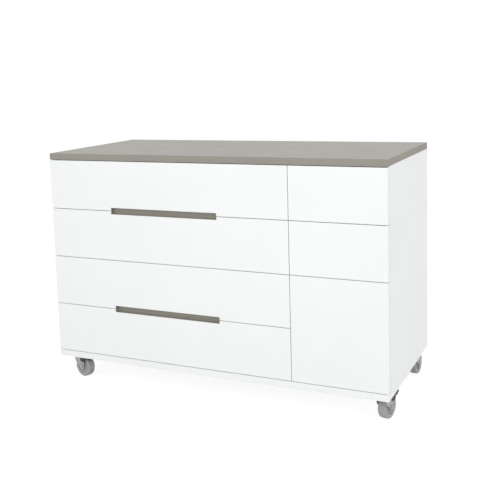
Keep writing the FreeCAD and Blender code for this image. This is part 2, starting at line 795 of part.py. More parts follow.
def fork(unit, name, x, y, heading, braked):
    """A round crown with two legs that carry the axle, and holes for the lever's pins where it is braked."""
    base = unit.body((x, y, "0"), heading)
    crown = unit.sketch(base, "XY_Plane", "crown_low")
    unit.circle(crown, "0", "0", "crown_radius")
    unit.pad(base, crown, "crown_sheet")
    legs = unit.sketch(base, "XZ_Plane")
    unit.outline(legs, [
        ("-0.87 * crown_radius", "crown_top"), ("0.87 * crown_radius", "crown_top"),
        ("crown_radius + 1.2 * leg_sheet", "lever_pivot_up + 0.9 * leg_boss_radius"),
        ("lever_pivot_out + 0.5 * leg_boss_radius", "lever_pivot_up + 0.7 * leg_boss_radius"),
        ("lever_pivot_out + 0.6 * leg_boss_radius", "lever_pivot_up - 0.5 * leg_boss_radius"),
        ("trail + leg_boss_radius", "wheel_radius"), ("trail", "wheel_radius - 0.6 * leg_boss_radius"),
        ("trail - 0.95 * leg_boss_radius", "wheel_radius"),
        ("-0.4 * crown_radius", "wheel_radius + leg_boss_radius"),
        ("-0.5 * crown_radius", "crown_low - 0.6 * leg_boss_radius"),
    ])
    unit.pad(base, legs, "fork_outside", both_ways=True)
    boss = unit.sketch(base, "XZ_Plane")
    unit.circle(boss, "trail", "wheel_radius", "leg_boss_radius")
    unit.pad(base, boss, "fork_outside", both_ways=True)
    space = unit.sketch(base, "XZ_Plane")
    unit.outline(space, [("-2 * crown_radius", "0"), ("lever_end", "0"), ("lever_end", "crown_low"),
                         ("-2 * crown_radius", "crown_low")])
    unit.pocket(base, space, "leg_space")
    bore = unit.sketch(base, "XY_Plane", "crown_low")
    unit.circle(bore, "0", "0", "king_radius + swivel_fit")
    unit.pocket(base, bore, "2 * crown_sheet + 2 * overrun")
    holes = unit.sketch(base, "XZ_Plane")
    unit.circle(holes, "trail", "wheel_radius", "axle_radius")
    if braked:
        unit.circle(holes, "lever_pivot_out", "lever_pivot_up", "lever_pin_radius + lever_pin_fit")
    unit.pocket(base, holes, "fork_outside + 2 * overrun")
    unit.keep(base, "caster_%s_fork" % name)


def wheel_place(x, y, heading):
    """Centre of a wheel that trails its swivel axis."""
    turn = heading + " * 1deg"
    return "%s + trail * cos(%s)" % (x, turn), "%s + trail * sin(%s)" % (y, turn), "wheel_radius"


def wheel(unit, name, x, y, heading):
    """A hub with a thin web and a rubber tread round it, turned about the axle."""
    place = wheel_place(x, y, heading)
    hub = unit.body(place, heading)
    half = unit.sketch(hub, "YZ_Plane")
    boss, rim, web = "boss_width / 2", "tread_width / 2", "hub_web / 2"
    bore, inner = "axle_radius + axle_fit", "hub_radius - hub_rim"
    unit.outline(half, [("-" + boss, bore), (boss, bore), (boss, "hub_boss_radius"), (web, "hub_boss_radius"),
                        (web, inner), (rim, inner), (rim, "hub_radius"), ("-" + rim, "hub_radius"),
                        ("-" + rim, inner), ("-" + web, inner), ("-" + web, "hub_boss_radius"),
                        ("-" + boss, "hub_boss_radius")])
    unit.revolve(hub, half)
    tread = unit.body(place, heading)
    section = unit.sketch(tread, "YZ_Plane")
    flat = "(tread_width / 2 - tread_shoulder)"
    mid = "(tread_width / 2 - 0.3 * tread_shoulder)"
    edge, bend = "wheel_radius - tread_shoulder", "wheel_radius - 0.3 * tread_shoulder"
    unit.outline(section, [("-" + rim, "hub_radius"), (rim, "hub_radius"), (rim, edge), (mid, bend),
                           (flat, "wheel_radius"), ("-" + flat, "wheel_radius"), ("-" + mid, bend),
                           ("-" + rim, edge)])
    unit.revolve(tread, section)
    unit.group([hub, tread], "caster_%s_wheel" % name)


def axle(unit, name, x, y, heading):
    """A riveted axle with a flat head outside each leg."""
    base = unit.body(wheel_place(x, y, heading), heading)
    half = unit.sketch(base, "YZ_Plane")
    leg, end = "fork_outside / 2", "(fork_outside / 2 + axle_head)"
    unit.outline(half, [("-" + end, "0"), (end, "0"), (end, "axle_head_radius"), (leg, "axle_head_radius"),
                        (leg, "axle_radius"), ("-" + leg, "axle_radius"), ("-" + leg, "axle_head_radius"),
                        ("-" + end, "axle_head_radius")])
    unit.revolve(base, half)
    unit.keep(base, "caster_%s_axle" % name)


def brake_lever(unit, name, x, y, heading):
    """A pedal over the wheel, with a skirt, a cheek and a pin outside each leg and a shoe over the tread."""
    base = unit.body((x, y, "0"), heading)
    side = unit.sketch(base, "XZ_Plane")
    cheek_low = "lever_pivot_up - cheek_drop"
    cheek_start, cheek_end = "lever_pivot_out - cheek_length / 2", "lever_pivot_out + cheek_length / 2"
    under = "lever_top - lever_sheet"
    unit.outline(side, [
        ("lever_start", "lever_top"), ("lever_pivot_out", "lever_top"),
        ("lever_end", "lever_top - lever_tail_drop"), ("lever_end", under + " - lever_tail_drop"),
        ("lever_end - lever_skirt", under + " - lever_skirt"), (cheek_end, under + " - lever_skirt"),
        (cheek_end, cheek_low + " + cheek_drop / 2"), ("lever_pivot_out + cheek_length / 4", cheek_low),
        ("lever_pivot_out - cheek_length / 4", cheek_low), (cheek_start, cheek_low + " + cheek_drop / 2"),
        ("lever_start", under),
    ])
    unit.pad(base, side, "lever_outside", both_ways=True)
    space = unit.sketch(base, "XZ_Plane")
    unit.outline(space, [("0", "0"), ("2 * lever_end", "0"), ("2 * lever_end", under + " - lever_tail_drop"),
                         ("lever_end", under + " - lever_tail_drop"), ("lever_pivot_out", under),
                         ("0", under)])
    unit.pocket(base, space, "lever_inside")
    pins = unit.sketch(base, "XZ_Plane")
    unit.circle(pins, "lever_pivot_out", "lever_pivot_up", "lever_pin_radius")
    unit.pad(base, pins, "lever_inside + lever_cheek", both_ways=True)
    gap = unit.sketch(base, "XZ_Plane")
    unit.circle(gap, "lever_pivot_out", "lever_pivot_up", "lever_pin_radius + lever_pin_fit")
    unit.pocket(base, gap, "leg_space")
    shoe = unit.sketch(base, "XZ_Plane")
    ring = "sqrt((wheel_radius + shoe_gap) ^ 2 - (%s - trail) ^ 2)"
    shoe_top = "lever_top - 0.75 * lever_sheet"
    unit.outline(shoe, [("shoe_start", shoe_top), ("shoe_end", shoe_top),
                        ("shoe_end", "wheel_radius + " + ring % "shoe_end"),
                        ("shoe_start", "wheel_radius + " + ring % "shoe_start")])
    unit.pad(base, shoe, "shoe_width", both_ways=True)
    unit.keep(base, "caster_%s_brake_lever" % name)


def casters(unit):
    """Four swivel casters; the front pair has brake levers."""
    caster_plates(unit)
    for name, x, y, heading in caster_corners():
        braked = name.startswith("front")
        fork(unit, name, x, y, heading, braked)
        axle(unit, name, x, y, heading)
        wheel(unit, name, x, y, heading)
        if braked:
            brake_lever(unit, name, x, y, heading)


def main():
    """Build the whole dresser and write one file for each node."""
    os.makedirs("parts", exist_ok=True)
    unit = Dresser()
    carcass(unit)
    bumpers(unit)
    cabinet_runners(unit)
    drawers(unit)
    fittings(unit)
    door(unit)
    casters(unit)
    unit.check_and_save("parts")


main()
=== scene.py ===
"""Visual model of a wide dresser on swivel casters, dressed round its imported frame.

Metres throughout. The origin is on the floor under the middle of the body, X runs to the right as
one faces the fronts, Y runs from the fronts to the back and Z is up.
"""
import json
import logging
import math
from dataclasses import dataclass
from enum import Enum
from typing import Any, Sequence

import bmesh
import bpy
import numpy as np
from mathutils import Matrix, Vector


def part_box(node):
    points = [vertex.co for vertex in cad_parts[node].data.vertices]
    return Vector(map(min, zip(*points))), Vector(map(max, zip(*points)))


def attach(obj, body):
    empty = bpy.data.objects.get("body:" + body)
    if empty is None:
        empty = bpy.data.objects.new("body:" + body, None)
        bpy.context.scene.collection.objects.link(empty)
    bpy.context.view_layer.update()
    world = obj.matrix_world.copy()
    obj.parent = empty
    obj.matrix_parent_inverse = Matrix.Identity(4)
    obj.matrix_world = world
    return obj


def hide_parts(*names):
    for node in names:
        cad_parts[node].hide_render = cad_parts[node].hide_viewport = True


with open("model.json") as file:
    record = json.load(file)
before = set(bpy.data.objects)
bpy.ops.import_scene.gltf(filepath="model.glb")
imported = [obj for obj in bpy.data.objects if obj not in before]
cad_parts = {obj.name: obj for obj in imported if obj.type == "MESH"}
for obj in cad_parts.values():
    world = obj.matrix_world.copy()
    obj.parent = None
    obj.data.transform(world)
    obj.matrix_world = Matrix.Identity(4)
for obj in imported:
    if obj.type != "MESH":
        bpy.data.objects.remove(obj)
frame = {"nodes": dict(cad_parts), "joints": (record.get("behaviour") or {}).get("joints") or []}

Array = np.ndarray
Tree = bpy.types.NodeTree
Socket = bpy.types.NodeSocket
Colour = tuple[float, float, float]
Place = tuple[float, float, float]
Pair = tuple[float, float]
log = logging.getLogger("dresser")

MM = 0.001
SCREW_SPOKES = 24
PIN_SPOKES = 32
RACE_SPOKES = 48
HUB_SPOKES = 64
TREAD_SPOKES = 96
CORNER_CUTS = 3
MERGED_WITHIN = 0.001 * MM
SMOOTH_ANGLE = math.radians(38)
UPRIGHT_UNDER = 0.5
ABOUT_Z = Matrix.Rotation(math.radians(90), 4, "X")


def linear(colour: Colour) -> Colour:
    """Turn a colour as read off a screen into linear light.

    A screen's curve is a straight line for shares up to 0.04045 and a power of 2.4 above it.

    Args:
        colour: Its screen values, 0 to 255.

    Returns:
        Its linear values, 0 to 1.
    """
    share = np.array(colour) / 255.0
    light = np.where(share <= 0.04045, share / 12.92, ((share + 0.055) / 1.055) ** 2.4)
    return tuple(light.tolist())


def corners(node: str) -> tuple[Array, Array]:
    """Lowest and highest corner of a node."""
    low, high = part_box(node)
    return np.array(low), np.array(high)


def joint(name: str) -> dict[str, Any]:
    """The frame's row of a joint, with its place and its axis."""
    return next(row for row in frame["joints"] if row["name"] == name)


# Finishes


class Pattern(Enum):
    """How a finish varies over the surface: the scale of its noise along X, Y and Z."""

    MOTTLED = (1.0, 1.0, 1.0)
    BRUSHED = (1.0, 0.03, 1.0)
    TIMBER = (1.0, 1.0, 0.08)


def ranged(tree: Tree, value: Socket, span: Pair, ends: Pair = (0.0, 1.0)) -> Socket:
    """Carry a value from one range to another.

    Args:
        tree: The node tree.
        value: The value.
        span: The range that it comes from.
        ends: The range that it goes to.

    Returns:
        The carried value.
    """
    node = tree.nodes.new("ShaderNodeMapRange")
    for socket, level in zip(("From Min", "From Max", "To Min", "To Max"), span + ends):
        node.inputs[socket].default_value = level
    tree.links.new(value, node.inputs["Value"])
    return node.outputs["Result"]


@dataclass(frozen=True)
class Finish:
    """A surface finish: two close tones, a range of roughness and a fine relief.

    The tones, in screen values, are mixed by noise on Object coordinates. The roughness follows a
    second noise, and a third one is the relief. A span holds the values of a noise over which it
    takes effect, and a detail is its number of octaves.
    """

    name: str
    slot: str
    tone: Colour
    second_tone: Colour
    tone_scale: float
    roughness: Pair
    relief_scale: float = 1500.0
    relief: float = 0.03 * MM
    metallic: float = 0.0
    specular: float = 0.5
    coat: float = 0.0
    coat_roughness: float = 0.1
    subsurface: float = 0.0
    subsurface_depth: float = 2 * MM
    pattern: Pattern = Pattern.MOTTLED
    tone_span: Pair = (0.35, 0.65)
    tone_detail: float = 3.0
    gloss_span: Pair = (0.3, 0.7)
    gloss_fineness: float = 2.3
    gloss_detail: float = 2.0
    relief_detail: float = 4.0

    def material(self) -> bpy.types.Material:
        """Build the finish once, or hand back the one that was built before.

        Returns:
            The material.
        """
        made = bpy.data.materials.get(self.name)
        if made:
            return made
        made = bpy.data.materials.new(self.name)
        made.use_nodes = True
        tree = made.node_tree
        nodes, links = tree.nodes, tree.links
        shader = nodes["Principled BSDF"]
        levels = {
            "Metallic": self.metallic, "Specular IOR Level": self.specular, "Coat Weight": self.coat,
            "Coat Roughness": self.coat_roughness, "Subsurface Weight": self.subsurface,
            "Subsurface Scale": self.subsurface_depth,
        }
        for socket, level in levels.items():
            shader.inputs[socket].default_value = level

        place = nodes.new("ShaderNodeTexCoord")
        mapping = nodes.new("ShaderNodeMapping")
        mapping.inputs["Scale"].default_value = self.pattern.value
        links.new(place.outputs["Object"], mapping.inputs["Vector"])

        noises = []
        for scale, detail in (
            (self.tone_scale, self.tone_detail),
            (self.tone_scale * self.gloss_fineness, self.gloss_detail),
            (self.relief_scale, self.relief_detail),
        ):
            noise = nodes.new("ShaderNodeTexNoise")
            noise.inputs["Scale"].default_value = scale
            noise.inputs["Detail"].default_value = detail
            links.new(mapping.outputs["Vector"], noise.inputs["Vector"])
            noises.append(noise.outputs["Fac"])
        mottle, gloss, grain = noises

        tones = nodes.new("ShaderNodeMix")
        tones.data_type = "RGBA"
        tones.inputs["A"].default_value = (*linear(self.tone), 1.0)
        tones.inputs["B"].default_value = (*linear(self.second_tone), 1.0)
        links.new(ranged(tree, mottle, self.tone_span), tones.inputs["Factor"])
        links.new(tones.outputs["Result"], shader.inputs["Base Color"])

        roughness = ranged(tree, gloss, self.gloss_span, self.roughness)
        links.new(roughness, shader.inputs["Roughness"])

        bump = nodes.new("ShaderNodeBump")
        bump.inputs["Strength"].default_value = 1.0
        bump.inputs["Distance"].default_value = self.relief
        links.new(grain, bump.inputs["Height"])
        links.new(bump.outputs["Normal"], shader.inputs["Normal"])
        return made


LACQUER = Finish(
    "satin_lacquer", "white_lacquer", (245, 247, 246), (243, 245, 244),
    tone_scale=3.0, roughness=(0.34, 0.40), relief_scale=900.0, relief=0.012 * MM)
# TOP_LAMINATE and the edge finish below are two copies of one taupe laminate. The edge copy goes on the top
# board's upright faces and is lighter and less glossy. Its tone and gloss are set for how light falls on the
# edges, so this split by face direction is painted light.
TOP_LAMINATE = Finish(
    "top_laminate", "taupe_laminate", (147, 143, 131), (144, 140, 128),
    tone_scale=6.0, roughness=(0.42, 0.48), relief_scale=1400.0, relief=0.008 * MM,
    specular=0.8, coat=0.14, coat_roughness=0.3)
EDGE_BAND_PAINTED_LIGHT = Finish(
    "top_edge_band", "taupe_laminate", (152, 148, 138), (149, 145, 135),
    tone_scale=6.0, roughness=(0.5, 0.58), relief_scale=1400.0, relief=0.008 * MM, specular=0.25)
INNER_BOARD = Finish(
    "inner_board", "white_board", (240, 240, 237), (238, 238, 235),
    tone_scale=9.0, roughness=(0.5, 0.6), relief_scale=1200.0)
GRIP_LINING = Finish(
    "grip_lining", "taupe_plastic", (152, 149, 137), (148, 145, 133),
    tone_scale=60.0, roughness=(0.5, 0.6), relief_scale=2400.0, relief=0.04 * MM, specular=0.4)
DOWEL_BEECH = Finish(
    "dowel_beech", "beech", (205, 170, 128), (184, 146, 104),
    tone_scale=160.0, roughness=(0.6, 0.75), relief_scale=900.0, relief=0.1 * MM, pattern=Pattern.TIMBER)
ZINC = Finish(
    "dull_zinc", "zinc_steel", (170, 171, 171), (160, 161, 162),
    tone_scale=160.0, roughness=(0.38, 0.5), relief_scale=1800.0, relief=0.02 * MM, metallic=1.0)
RUNNER_ZINC = Finish(
    "drawn_zinc", "runner_steel", (176, 178, 181), (160, 163, 167),
    tone_scale=260.0, roughness=(0.26, 0.4), relief_scale=2200.0, relief=0.02 * MM, metallic=1.0,
    pattern=Pattern.BRUSHED)
SOFT_PAD = Finish(
    "soft_pad", "soft_clear", (228, 229, 226), (222, 223, 220),
    tone_scale=200.0, roughness=(0.35, 0.5), relief=0.02 * MM, subsurface=0.2)
WHITE_MOULDING = Finish(
    "white_moulding", "white_plastic", (232, 232, 229), (226, 226, 223),
    tone_scale=120.0, roughness=(0.35, 0.45), relief=0.02 * MM)
GREY_MOULDING = Finish(
    "grey_moulding", "grey_plastic", (150, 150, 152), (144, 144, 146),
    tone_scale=120.0, roughness=(0.4, 0.5))
BLACK_MOULDING = Finish(
    "black_moulding", "black_plastic", (34, 34, 36), (42, 42, 43),
    tone_scale=150.0, roughness=(0.38, 0.5), relief_scale=1700.0, relief=0.04 * MM)
TREAD = Finish(
    "wheel_tread", "wheel_rubber", (166, 166, 167), (161, 161, 163),
    tone_scale=90.0, roughness=(0.55, 0.65), relief_scale=1300.0)
HUB = Finish(
    "wheel_hub", "wheel_rubber", (170, 170, 171), (165, 165, 167),
    tone_scale=90.0, roughness=(0.4, 0.5))


# Outlines


def rectangle(low: Sequence[float], high: Sequence[float]) -> Array:
    """The four corners of a rectangle, from its low corner round."""
    return np.array([(low[0], low[1]), (high[0], low[1]), (high[0], high[1]), (low[0], high[1])])


def arc(centre: Pair, radius: float | Pair, start: float, end: float, count: int) -> Array:
    """Points centre + radius (cos a, sin a) for a from start to end, in degrees."""
    angle = np.radians(np.linspace(start, end, count))
    return np.stack([np.cos(angle), np.sin(angle)], axis=-1) * radius + centre


def rounded_square(half: float, radius: float, steps: int) -> Array:
    """The outline of a square about the origin, with a quarter circle at each corner.

    Args:
        half: Half of its side.
        radius: Radius of the corners.
        steps: Points on each corner.

    Returns:
        The outline's points, shaped (points, 2).
    """
    flat = half - radius
    turns = {-90: (flat, -flat), 0: (flat, flat), 90: (-flat, flat), 180: (-flat, -flat)}
    return np.concatenate([arc(centre, radius, turn, turn + 90, steps) for turn, centre in turns.items()])


def softened(outline: Array) -> Array:
    """Round a closed outline by cutting its corners.

    Each round puts two points on every side, at a quarter and at three quarters of it.

    Args:
        outline: Points, shaped (points, 2).

    Returns:
        The rounder outline.
    """
    for _ in range(CORNER_CUTS):
        after = np.roll(outline, -1, axis=0)
        cuts = [0.75 * outline + 0.25 * after, 0.25 * outline + 0.75 * after]
        outline = np.stack(cuts, axis=1).reshape(-1, 2)
    return outline


def mirrored(half: Array) -> Array:
    """A profile (along, radius) followed by its image on the other side of along = 0."""
    return np.concatenate([half, half[::-1] * (-1, 1)])


# Surfaces


class Shell:
    """Closed surfaces gathered into one mesh, each a stack of rings of points."""

    def __init__(self) -> None:
        """Start with nothing."""
        self.points: list[Array] = []
        self.faces: list[list[int]] = []
        self.total = 0

    def rings(self, rings: Array, wrap: bool = False) -> "Shell":
        """Add the surface through a stack of closed rings.

        Face (i, j) joins points j and j + 1 of rings i and i + 1. The first and last rings are
        filled, or joined to each other where the stack wraps round.

        Args:
            rings: Points, shaped (rings, points in a ring, 3).
            wrap: Whether the last ring joins the first.

        Returns:
            This shell.
        """
        count, width = rings.shape[:2]
        index = self.total + np.arange(count * width).reshape(count, width)
        rows = index if wrap else index[:-1]
        after = np.roll(index, -1, axis=0) if wrap else index[1:]
        quads = np.stack([rows, np.roll(rows, -1, axis=1), np.roll(after, -1, axis=1), after], axis=-1)
        self.faces += quads.reshape(-1, 4).tolist()
        if not wrap:
            self.faces += [index[0][::-1].tolist(), index[-1].tolist()]
        self.points.append(rings.reshape(-1, 3))
        self.total += count * width
        return self

    def stepped(self, levels: Sequence[tuple[float, Array]], axis: int) -> "Shell":
        """Add a body whose outline changes in steps along one axis.

        Args:
            levels: Each level's place and outline. Two levels at one place make a step. An
                outline is shaped (points, 2), in the other two axes in X, Y, Z order.
            axis: 0, 1 or 2 for X, Y or Z.

        Returns:
            This shell.
        """
        others = [k for k in range(3) if k != axis]
        stack = np.zeros((len(levels), len(levels[0][1]), 3))
        stack[:, :, others] = np.array([outline for _, outline in levels])
        stack[:, :, axis] = np.array([place for place, _ in levels])[:, None]
        return self.rings(stack)

    def prism(self, outline: Array, axis: int, low: float, high: float) -> "Shell":
        """Add a flat outline carried straight along one axis, from low to high."""
        return self.stepped([(low, outline), (high, outline)], axis)

    def pair(self, outline: Array, inner: float, outer: float) -> "Shell":
        """Add an outline's prism from inner to outer along Y, and its image on the other side."""
        return self.prism(outline, 1, inner, outer).prism(outline, 1, -outer, -inner)

    def box(self, low: Sequence[float], high: Sequence[float]) -> "Shell":
        """Add a block between two corners."""
        return self.prism(rectangle(low, high), 2, low[2], high[2])

    def turned(self, profile: Array, spokes: int, closed: bool = False) -> "Shell":
        """Add a profile turned about the local Y axis.

        A profile point (along, radius) goes to (radius cos t, along, radius sin t) for t over a
        whole turn.

        Args:
            profile: Points (along, radius), shaped (points, 2).
            spokes: Steps in the turn.
            closed: Whether the profile is a closed loop, as in a ring.

        Returns:
            This shell.
        """
        turn = np.linspace(0, 2 * math.pi, spokes, endpoint=False)
        along, radius = profile[:, 0][:, None], profile[:, 1][:, None]
        stack = np.stack([radius * np.cos(turn), along + 0 * turn, radius * np.sin(turn)], axis=-1)
        return self.rings(stack, wrap=closed)

    def moved(self, matrix: Matrix) -> "Shell":
        """Carry all points so far by a matrix.

        Args:
            matrix: The matrix, of four rows and columns.

        Returns:
            This shell.
        """
        carry = np.array(matrix)
        self.points = [surface @ carry[:3, :3].T + carry[:3, 3] for surface in self.points]
        return self

    def join(self, other: "Shell") -> "Shell":
        """Take over another shell's surfaces.

        Args:
            other: The other shell.

        Returns:
            This shell.
        """
        self.faces += [[point + self.total for point in face] for face in other.faces]
        self.points += other.points
        self.total += other.total
        return self


@dataclass(frozen=True)
class Edge:
    """How a piece's edges are eased: width of the rounding, its steps and the least angle."""

    width: float
    steps: int
    angle: float = 35.0


WORN = Edge(1.1 * MM, 4)
BOARD = Edge(0.9 * MM, 3)
EASED = Edge(0.8 * MM, 3)
FINE = Edge(0.5 * MM, 2)
PRESSED = Edge(0.4 * MM, 2)
MOULDED = Edge(0.4 * MM, 2, 50.0)
CRISP = Edge(0.35 * MM, 2)


def solid_mesh(name: str, shell: Shell) -> bpy.types.Mesh:
    """Turn a shell into a mesh with its faces outwards.

    Points are merged within each closed surface only, so boards that touch stay closed bodies.

    Args:
        name: The mesh's name.
        shell: The surfaces.

    Returns:
        The mesh.
    """
    mesh = bpy.data.meshes.new(name)
    mesh.from_pydata(np.concatenate(shell.points).tolist(), [], shell.faces)
    work = bmesh.new()
    work.from_mesh(mesh)
    work.verts.ensure_lookup_table()
    ends = np.cumsum([0] + [len(surface) for surface in shell.points])
    for group in [work.verts[start:end] for start, end in zip(ends[:-1], ends[1:])]:
        bmesh.ops.remove_doubles(work, verts=group, dist=MERGED_WITHIN)
    bmesh.ops.recalc_face_normals(work, faces=work.faces)
    work.to_mesh(mesh)
    work.free()
    mesh.shade_smooth()
    return mesh


def dress(name: str, shell: Shell, body: str, finish: Finish, replaced: Sequence[str],
          edge: Edge | None = EASED, painted_light_band: Finish | None = None) -> None:
    """Make a shell an object in its finish, riding on a body.

    Args:
        name: The piece's name.
        shell: Its surfaces.
        body: The body that it moves with.
        finish: Its finish.
        replaced: The frame's nodes that it stands for.
        edge: How its edges are eased, or None where the surface is round already.
        painted_light_band: The finish of its upright faces, where they have one of their own: a copy of its
            main finish whose tone and gloss are set for how light falls on those faces, painted light.
    """
    mesh = solid_mesh(name, shell)
    mesh.materials.append(finish.material())
    # Upright faces take the second finish, which is painted light: its tone and gloss stand for how light
    # falls on them.
    if painted_light_band:
        mesh.materials.append(painted_light_band.material())
        normals = np.zeros(3 * len(mesh.polygons), dtype=np.float32)
        mesh.polygons.foreach_get("normal", normals)
        upright = abs(normals[2::3]) < UPRIGHT_UNDER
        mesh.polygons.foreach_set("material_index", upright.astype(np.int32))
    piece = bpy.data.objects.new(name, mesh)
    bpy.context.scene.collection.objects.link(piece)
    if edge:
        ease = piece.modifiers.new("eased_edges", "BEVEL")
        ease.width = edge.width
        ease.segments = edge.steps
        ease.limit_method = "ANGLE"
        ease.angle_limit = math.radians(edge.angle)
        ease.harden_normals = True
        ease.use_clamp_overlap = True
    else:
        mesh.set_sharp_from_angle(angle=SMOOTH_ANGLE)
    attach(piece, body)
    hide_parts(*replaced)
    log.info("%s on %s, in %s", name, body, finish.slot)


def repaint(node: str, finish: Finish) -> None:
    """Give a node that keeps its shape its finish.

    Args:
        node: The node.
        finish: Its finish.
    """
    held = frame["nodes"][node]
    held.data.materials.clear()
    held.data.materials.append(finish.material())
    log.info("%s kept, in %s", node, finish.slot)


# The case


@dataclass(frozen=True)
class Screw:
    """A screw seen from its head, which points down along Z from the origin."""

    radius: float
    proud: float
    length: float
    ring_shares: tuple[float, ...] = (0.0, 0.14, 0.2, 0.5, 0.6, 0.85, 1.0)
    cross_width_share: float = 1 / 6
    cross_reach_share: float = 0.62
    cross_depth: float = 1.2 * MM
    shank_share: float = 0.5
    neck: float = 3.5 * MM

    def shell(self) -> Shell:
        """Make the head, with a shank that runs up from it.

        The head's surface is -proud (1 - (r / radius)^2), plus the depth of a cross where the
        smaller of |x| and |y| is under a share of the radius.

        Returns:
            The shell.
        """
        turn = np.linspace(0, 2 * math.pi, SCREW_SPOKES, endpoint=False)
        share = np.array(self.ring_shares)[:, None]
        x, y = share * self.radius * np.cos(turn), share * self.radius * np.sin(turn)
        near = np.minimum(abs(x), abs(y)) < self.radius * self.cross_width_share
        cross = near & (share < self.cross_reach_share)
        z = -self.proud * (1 - share ** 2) + np.where(cross, self.cross_depth, 0.0)
        head = np.stack([x, y, z], axis=-1)
        ring = self.radius * self.shank_share * np.stack([np.cos(turn), np.sin(turn)], axis=-1)
        shank = [np.concatenate([ring, np.full((len(turn), 1), level)], axis=-1)
                 for level in (self.neck, self.length)]
        return Shell().rings(np.concatenate([head, shank]))


@dataclass
class Case:
    """The case's boards, long screws, soft bumpers and dowels."""

    back_groove: float = 7 * MM
    screw: Screw = Screw(radius=5 * MM, proud=0.4 * MM, length=50 * MM)
    screw_spread: tuple[float, ...] = (-0.14, 0.0, 0.14)
    uprights: tuple[str, ...] = ("left_side_panel", "divider_panel", "right_side_panel")
    bumper_radius: float = 5 * MM
    bumper_lift: float = 30 * MM
    bumper_wall_share: float = 0.35

    def build(self) -> None:
        """Make every piece of the case."""
        self.boards()
        self.screws()
        self.bumpers()
        repaint("carcass_dowels", DOWEL_BEECH)

    def boards(self) -> None:
        """Make the boards, each a block in its node's place with eased edges. The top board's upright faces
        take a painted-light copy of its laminate, toned for how light falls on them.
        """
        plans = (
            ("top_board", "top_panel", TOP_LAMINATE, WORN, EDGE_BAND_PAINTED_LIGHT),
            ("base_board", "base_panel", LACQUER, BOARD, None),
            ("side_board_left", "left_side_panel", LACQUER, BOARD, None),
            ("side_board_right", "right_side_panel", LACQUER, BOARD, None),
            ("divider_board", "divider_panel", INNER_BOARD, EASED, None),
            ("shelf_board", "fixed_shelf", INNER_BOARD, EASED, None),
        )
        for name, node, finish, edge, painted_light_band in plans:
            dress(name, Shell().box(*corners(node)), "carcass", finish, [node], edge, painted_light_band)
        low, high = corners("back_panel")
        inset = (self.back_groove, 0, self.back_groove)
        back = Shell().box(low + inset, high - inset)
        dress("back_board", back, "carcass", INNER_BOARD, ["back_panel"], None)

    def screws(self) -> None:
        """Make the long screws, in a row under each upright."""
        underside = corners("base_panel")[0][2]
        heads = Shell()
        for upright in self.uprights:
            middle = float(np.mean(corners(upright), axis=0)[0])
            for y in self.screw_spread:
                heads.join(self.screw.shell().moved(Matrix.Translation((middle, y, underside))))
        dress("case_screws", heads, "carcass", ZINC, ["carcass_screws"], None)

    def bumpers(self) -> None:
        """Make the soft bumpers, each a short cylinder with an elliptic dome in front."""
        low, high = corners("front_bumpers")
        reach, radius = high[1] - low[1], self.bumper_radius
        wall = reach * self.bumper_wall_share
        dome = arc((-wall, 0), (reach - wall, radius), 90, 180, 6)
        profile = np.concatenate([[(0, 0), (0, radius)], dome])
        pads = Shell()
        for x in (low[0] + radius, high[0] - radius):
            for row in (1, 2, 3, 4):
                z = corners("drawer_left_%d_front" % row)[0][2] + self.bumper_lift
                pads.join(Shell().turned(profile, SCREW_SPOKES).moved(Matrix.Translation((x, high[1], z))))
        dress("soft_bumpers", pads, "carcass", SOFT_PAD, ["front_bumpers"], None)


# Drawers


class GripHalf(Enum):
    """Where a front is notched for its half of a grip."""

    NONE = "plain front"
    LOWER_EDGE = "undercut notch in the lower edge"
    UPPER_EDGE = "blind pocket in the upper edge"


